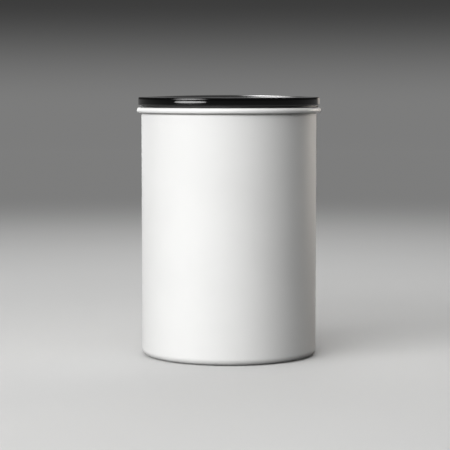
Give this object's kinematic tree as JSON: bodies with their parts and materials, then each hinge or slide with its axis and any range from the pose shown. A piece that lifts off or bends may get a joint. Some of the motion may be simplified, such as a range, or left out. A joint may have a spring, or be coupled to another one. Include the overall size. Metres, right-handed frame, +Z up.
{
  "type": "coffee canister with valve",
  "caption": "Cylindrical white steel coffee canister with a rolled rim, dark plug lid and a press-down inner lid whose folding handle works a one-way air valve.",
  "frame": {"origin": "centre of the base, on the surface that the canister stands on", "axes": "+Z up along the can's axis; -Y is the side that faces the viewer; the inner lid's handle folds down towards +Y and its axle lies along X"},
  "size_m": [0.127, 0.127, 0.1795],
  "materials": {
    "white_coat": "fine matt powder coat outside, bare steel inside",
    "smoked_plastic": "glossy dark moulded plastic",
    "black_silicone": "matt moulded silicone",
    "grey_silicone": "soft grey silicone",
    "charcoal_plastic": "fine spark-eroded texture",
    "black_plastic": "satin moulded plastic",
    "natural_plastic": "natural acetal, slightly waxy",
    "steel": "stainless steel"
  },
  "bodies": {
    "canister": {"canister_shell": "white_coat"},
    "outer_lid": {"outer_lid": "smoked_plastic", "outer_lid_seal": "black_silicone"},
    "plunger": {"plunger_body": "charcoal_plastic", "plunger_seal": "black_silicone", "valve_cage": "black_plastic", "valve_spring": "steel", "left_bearing_cap": "black_plastic", "right_bearing_cap": "black_plastic", "bearing_screws": "steel"},
    "handle": {"handle_bail": "black_plastic", "handle_axle": "steel", "valve_cam": "natural_plastic"},
    "valve": {"valve_stem": "natural_plastic", "valve_umbrella": "grey_silicone"}
  },
  "joints": [
    {"name": "outer_lid_lift", "type": "slide", "parent": "canister", "child": "outer_lid", "axis": [0, 0, 1], "range_m": [0, 0.08]},
    {"name": "plunger_press", "type": "slide", "parent": "canister", "child": "plunger", "axis": [0, 0, 1], "range_m": [-0.1058, 0]},
    {"name": "handle_swing", "type": "hinge", "parent": "plunger", "child": "handle", "pos_m": [0, 0, 0.13346], "axis": [1, 0, 0], "range_deg": [0, 90]},
    {"name": "valve_lift", "type": "slide", "parent": "plunger", "child": "valve", "axis": [0, 0, 1], "range_m": [0, 0.00255], "deforming": ["valve_spring"]}
  ],
  "couplings": [
    {"joint": "valve_lift", "follows": "handle_swing", "m_per_rad": 0.0016206}
  ]
}
